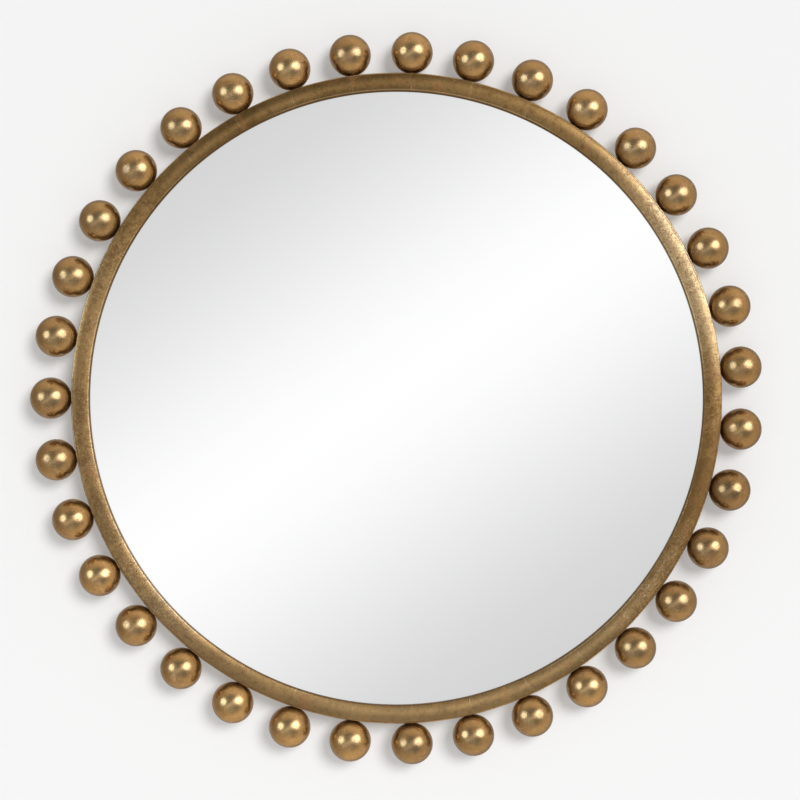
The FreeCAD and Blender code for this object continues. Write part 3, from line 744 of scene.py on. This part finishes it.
def repeated(blank, name, finish, **inputs):
    """Repeats a blank with the ring's Geometry Nodes and keeps the result as one plain mesh."""
    modifier = blank.modifiers.new("round", "NODES")
    modifier.node_group = bpy.data.node_groups.get("round_the_ring") or round_tree()
    for label, value in inputs.items():
        set_input(modifier, label.replace("_", " "), value)
    set_input(modifier, "Finish", finish)
    mesh = applied(blank)
    mesh.name = name
    bpy.data.objects.remove(blank)
    return in_scene(name, mesh)


def dress(node, finish):
    """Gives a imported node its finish."""
    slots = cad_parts[node].data.materials
    slots.clear()
    slots.append(finish)


def settle(piece, body, slot, *nodes):
    """A finished piece rides on a body and stands for the nodes that it replaces."""
    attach(piece, body)
    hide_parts(*nodes)


# ---------------------------------------------------------------- operators


class MIRROR_OT_ring(bpy.types.Operator):
    """Spin the ring's section and gild it"""

    bl_idname = "mirror.ring"
    bl_label = "Gilded Ring"

    def execute(self, context):
        outside, inside = ring_section(context.scene.mirror_sizes)
        points = [point for point, _ in outside] + [point for point, _ in reversed(inside)]
        gilded, primed = 0, 1
        slots = [gilded] * len(outside) + [primed] * (len(inside) - 1) + [gilded]
        ring = spun("gilded_ring", points, RING_STEPS, slots, "section")
        leaf = gold_leaf("ring_gold_leaf", ring_leaves, polish=0.23, wear=1.0, varnish=0.65)
        ring.data.materials.append(leaf)
        ring.data.materials.append(primed_steel())
        settle(ring, "mirror", "gold_leaf", "frame_ring")
        return {"FINISHED"}


class MIRROR_OT_balls(bpy.types.Operator):
    """Turn one ball with its weld, repeat it round the ring and gild all the balls"""

    bl_idname = "mirror.balls"
    bl_label = "Gilded Balls"

    def execute(self, context):
        sizes = context.scene.mirror_sizes
        radius, toe = sizes.ball_radius, sizes.weld_toe
        seat = -(radius + WELD_GAP)
        last = math.degrees(math.asin(sizes.weld_radius / radius))
        count, steps = 32, 64
        sweep = (math.radians(180 - (180 - last) * step / count) for step in range(count + 1))
        profile = [(-radius * math.cos(turn), radius * math.sin(turn)) for turn in sweep]
        # the hollow of the weld, a little nearer the ball than the ring
        throat = (profile[-1][0] * 0.55 + seat * 0.45, sizes.weld_radius * 0.62 + toe * 0.38)
        profile += [throat, (seat, toe), (seat, 0.0)]
        balls = repeated(
            turned_blank("ball_blank", profile, steps, "X"), "gilded_balls",
            gold_leaf("ball_gold_leaf", ball_leaves, polish=0.17, wear=0.35, varnish=1.0),
            Count=len(BALLS), Circle_Radius=sizes.ring_radius + sizes.ball_gap + radius,
            Depth=sizes.ball_depth, First_Angle=sizes.first_ball, Own_Turn=0.0, Seed=7)
        settle(balls, "mirror", "gold_leaf", *BALLS)
        return {"FINISHED"}


class MIRROR_OT_glass(bpy.types.Operator):
    """Silver the glass and finish the tape that it rests on"""

    bl_idname = "mirror.glass"
    bl_label = "Glass and Tape"

    def execute(self, context):
        dress("mirror_glass", silvered_glass())
        dress("glazing_tape", foam_tape())
        return {"FINISHED"}


class MIRROR_OT_back(bpy.types.Operator):
    """Finish the board, the blocks round it and the tabs that hold it"""

    bl_idname = "mirror.back"
    bl_label = "Board and Tabs"

    def execute(self, context):
        dress("backing_board", fibreboard())
        dress("setting_blocks", moulded_rubber())
        primer = bpy.data.materials.get("primed_steel") or primed_steel()
        for tab in TABS:
            dress(tab, primer)
        return {"FINISHED"}


class MIRROR_OT_screws(bpy.types.Operator):
    """Turn one pan-head screw with a cross recess and set one through each tab"""

    bl_idname = "mirror.screws"
    bl_label = "Retainer Screws"

    def execute(self, context):
        sizes = context.scene.mirror_sizes
        end, taper, blunt, shank = -9 * MM, 3 * MM, 0.3 * MM, 1.9 * MM
        head, edge, top = 4 * MM, 0.8 * MM, 2.4 * MM
        rise = top - edge
        dome = (head ** 2 / rise + rise) / 2
        spread = math.asin(head / dome)
        count, steps = 8, 32
        profile = [(end, 0.0), (end, blunt), (end + taper, shank), (0.0, shank), (0.0, head),
                   (edge, head)]
        for step in range(1, count):
            turn = spread * (1 - step / count)
            profile.append((top - dome + dome * math.cos(turn), dome * math.sin(turn)))
        profile.append((top, 0.0))
        blank = turned_blank("screw_blank", profile, steps, "Y")
        cut_cross(blank, top)
        screws = repeated(
            blank, "retainer_screw_set", zinc_plate("screw_zinc", (300.0, 300.0, 300.0)),
            Count=len(TABS), Circle_Radius=sizes.screw_circle, Depth=sizes.screw_back,
            First_Angle=sizes.first_screw, Own_Turn=math.pi, Seed=3)
        settle(screws, "mirror", "zinc_steel", "retainer_screws")
        return {"FINISHED"}


def cut_cross(blank, top):
    """Cuts a tapered cross recess into the top of a screw head that looks along +Y."""
    depth, above = 1.5 * MM, 0.5 * MM
    span, deep_span = 4.4 * MM, 2.2 * MM
    slot, deep_slot = 0.9 * MM, 0.6 * MM
    cutter = bmesh.new()
    for turn in (0.0, math.pi / 2):
        arm = bmesh.ops.create_cube(cutter, size=1.0)["verts"]
        for vert in arm:
            deep = vert.co.y < 0
            vert.co.x *= deep_span if deep else span
            vert.co.z *= deep_slot if deep else slot
            vert.co.y = top - depth if deep else top + above
        bmesh.ops.rotate(cutter, verts=arm, matrix=Matrix.Rotation(turn, 3, "Y"))
    tool = in_scene("recess", meshed("recess", cutter))
    cut = blank.modifiers.new("recess", "BOOLEAN")
    cut.object, cut.operation, cut.solver, cut.use_self = tool, "DIFFERENCE", "EXACT", True
    carved = applied(blank)
    blank.modifiers.clear()
    blank.data = carved
    bpy.data.objects.remove(tool)


class MIRROR_OT_hangers(bpy.types.Operator):
    """Finish the brackets, straps, rivets and swinging loops"""

    bl_idname = "mirror.hangers"
    bl_label = "Hangers"

    def execute(self, context):
        primer = bpy.data.materials.get("primed_steel") or primed_steel()
        strip = zinc_plate("strap_zinc", (900.0, 60.0, 60.0))
        wire = zinc_plate("wire_zinc", (240.0, 240.0, 240.0))
        for side in ("left", "right"):
            dress(f"hanger_bracket_{side}", primer)
            dress(f"hanger_strap_{side}", strip)
            dress(f"hanger_rivets_{side}", wire)
            dress(f"hanger_loop_{side}", wire)
        return {"FINISHED"}


class MIRROR_OT_bumpers(bpy.types.Operator):
    """Finish the felt bumpers"""

    bl_idname = "mirror.bumpers"
    bl_label = "Wall Bumpers"

    def execute(self, context):
        dress("wall_bumpers", felt())
        return {"FINISHED"}


class MIRROR_OT_stage(bpy.types.Operator):
    """Set up the wall, the floor, the lamps, the room and the camera"""

    bl_idname = "mirror.stage"
    bl_label = "Stage"

    def execute(self, context):
        stage = context.scene.mirror_stage
        far, near, gap, low = 5, -7, 1 * MM, stage.floor_height
        wall = panel("wall", (
            (-far, gap, -far), (far, gap, -far), (far, gap, far), (-far, gap, far)))
        paint = one_sided_paint("wall_paint", tuple(stage.wall_colour), stage.wall_glow)
        wall.data.materials.append(paint)
        wall.visible_shadow = False
        wall.visible_diffuse = False
        wall.visible_glossy = False
        floor = panel("floor", (
            (-far, near, low), (far, near, low), (far, far, low), (-far, far, low)))
        paint = one_sided_paint("floor_paint", tuple(stage.floor_colour), stage.floor_glow)
        floor.data.materials.append(paint)
        floor.visible_glossy = False
        front = lamp("front", stage.front_strength, (0.42, 1.0, 0.34), 24)
        front.visible_glossy = False
        for name, strength, place, width, colour in (
                ("key", stage.key_strength, (0.86, 1.0, 0.36), 40, (0.90, 0.96, 1.0)),
                ("fill", stage.fill_strength, (-1.22, 1.0, 0.22), 34, (0.76, 0.90, 1.0))):
            shine = lamp(name, strength, place, width)
            shine.visible_diffuse = False
            shine.data.color = colour
        rear = lamp("rear", stage.rear_strength, (0.45, -1.0, 0.6), 30)
        rear.visible_glossy = False
        room(context.scene, stage.room_light)
        camera(context.scene, stage)
        context.scene.view_settings.view_transform = "Standard"
        return {"FINISHED"}


def panel(name, corners):
    """A flat sheet with the corners given."""
    mesh = bpy.data.meshes.new(name)
    mesh.from_pydata(corners, [], [range(len(corners))])
    return in_scene(name, mesh)


def one_sided_paint(name, colour, glow):
    """Matt paint that shows on a sheet's front only, with a share of even glow."""
    white = (0.913, 0.913, 0.913, 1.0)
    r = new_recipe(name)
    paint = r.add("ShaderNodeBsdfDiffuse", sockets={"Color": (*colour, 1.0)})
    even = r.add("ShaderNodeEmission", sockets={"Color": white, "Strength": 1.0})
    front = r.add("ShaderNodeMixShader", sockets={0: glow, 1: paint, 2: even})
    clear = r.add("ShaderNodeBsdfTransparent")
    behind = r.add("ShaderNodeNewGeometry", output="Backfacing")
    mixed = r.add("ShaderNodeMixShader", sockets={0: behind, 1: front, 2: clear})
    r.add("ShaderNodeOutputMaterial", sockets={"Surface": mixed})
    return r.owner


def lamp(name, strength, place, width):
    """A far soft lamp that shines onto the mirror.

    place is where it stands, as right, forward and up; width is how wide it looks, in degrees.
    """
    data = bpy.data.lights.new(name, "SUN")
    data.energy = strength
    data.angle = math.radians(width)
    away = Vector((place[0], -place[1], place[2]))
    source = in_scene(name, data)
    source.rotation_mode = "QUATERNION"
    source.rotation_quaternion = away.to_track_quat("Z", "Y")
    source.location = away * 3
    return source


def room(scene, light):
    """Even light from all round, and what shows in gold and glass.

    That is a pale room with a glow that slants across the front, lighter in its far corner and low
    down at the left, and darker at the sides and behind.
    """
    scene.world = bpy.data.worlds.new("room")
    r = Recipe(scene.world)
    x, y, z = r.parts(r.add("ShaderNodeTexCoord", output="Generated"))
    ahead = (y * -1.0).most(0.05)
    right, up = x / ahead, z / ahead
    cosine, sine, shift = 0.574, 0.819, 0.0038  # the glow's slant, and how far it is off centre
    slope = right * cosine - up * sine + shift
    across = abs(slope)
    along = right * sine + up * cosine
    fade = [
        (0.0, 1.04), (0.029, 1.02), (0.064, 0.955), (0.103, 0.86), (0.132, 0.79), (0.161, 0.73),
        (0.194, 0.69), (0.333, 0.58), (0.5, 0.48), (0.75, 0.41), (1.0, 0.37)]
    glow = r.add("ShaderNodeValToRGB", {"stops": fade}, {"Fac": across / 0.6})
    corner = along.ramp(0.11, 0.40, 0.0, 2.1) * across.ramp(0.08, 0.40, 1.0, 0.0)
    ground = (up * -1.0).ramp(0.14, 0.5, 0.0, 0.95) * right.ramp(0.0, 0.4, 1.0, 0.1)
    ground = ground * across.ramp(0.1, 0.8)
    dusk = (slope * -1.0).ramp(0.12, 0.3, 0.0, 0.38) + slope.ramp(0.14, 0.4, 0.0, 0.3)
    lit = r.tinted(glow, 1.0 + corner + ground - dusk)
    off = (x * x + z * z).math("SQRT").ramp(0.6, 1.0)
    side = x.ramp(-1.0, 0.2, 0.36, 0.76) + (z * -1.0).ramp(0.2, 0.8, 0.0, 0.16)
    side = side + z.ramp(0.3, 0.9, 0.0, 0.2)
    shaded = r.blend(off, lit, r.tinted((1.0, 0.83, 0.61), side))
    shaded = r.blend(y.ramp(0.55, 0.85), shaded, (0.50, 0.46, 0.42))
    path = r.add("ShaderNodeLightPath").socket.node.outputs
    seen = Value(r, path["Is Camera Ray"])
    mirrored = Value(r, path["Is Glossy Ray"]) + Value(r, path["Is Transmission Ray"])
    colour = r.blend(mirrored, (light, light, light), shaded)
    colour = r.blend(seen, colour, (0.91, 0.91, 0.91))
    background = r.add("ShaderNodeBackground", sockets={"Color": colour, "Strength": 1.0})
    r.add("ShaderNodeOutputWorld", sockets={"Surface": background})


def camera(scene, stage):
    """A camera straight in front of the mirror, shifted to frame it as the photograph does."""
    data = bpy.data.cameras.new("camera")
    data.lens = stage.lens
    data.sensor_width = 36.0
    data.shift_x = 0.00435
    data.shift_y = -0.00235
    eye = in_scene("camera", data)
    eye.location = (0.0, -stage.camera_distance, 0.0)
    eye.rotation_euler = (math.pi / 2, 0.0, 0.0)
    scene.camera = eye


# ---------------------------------------------------------------- add-on


OPERATORS = (
    MIRROR_OT_ring, MIRROR_OT_balls, MIRROR_OT_glass, MIRROR_OT_back, MIRROR_OT_screws,
    MIRROR_OT_hangers, MIRROR_OT_bumpers, MIRROR_OT_stage)
GROUPS = (
    ("mirror_sizes", MirrorSizes), ("mirror_finish", MirrorFinish), ("mirror_stage", MirrorStage))


class MIRROR_PT_panel(bpy.types.Panel):
    """Lists the mirror's pieces in the order in which they are made"""

    bl_idname = "MIRROR_PT_panel"
    bl_label = "Mirror"
    bl_space_type = "VIEW_3D"
    bl_region_type = "UI"
    bl_category = "Mirror"

    def draw(self, context):
        for operator in OPERATORS:
            self.layout.operator(operator.bl_idname)
        for name, group in GROUPS:
            box = self.layout.box()
            for field in group.__annotations__:
                box.prop(getattr(context.scene, name), field)


def register():
    for kind in (*(group for _, group in GROUPS), *OPERATORS, MIRROR_PT_panel):
        bpy.utils.register_class(kind)
    for name, group in GROUPS:
        setattr(bpy.types.Scene, name, bpy.props.PointerProperty(type=group))


def unregister():
    for name, _ in GROUPS:
        delattr(bpy.types.Scene, name)
    for kind in (MIRROR_PT_panel, *reversed(OPERATORS), *(group for _, group in GROUPS)):
        bpy.utils.unregister_class(kind)


def main():
    register()
    for operator in OPERATORS:
        group, name = operator.bl_idname.split(".")
        getattr(getattr(bpy.ops, group), name)()


if __name__ == "__main__":
    main()
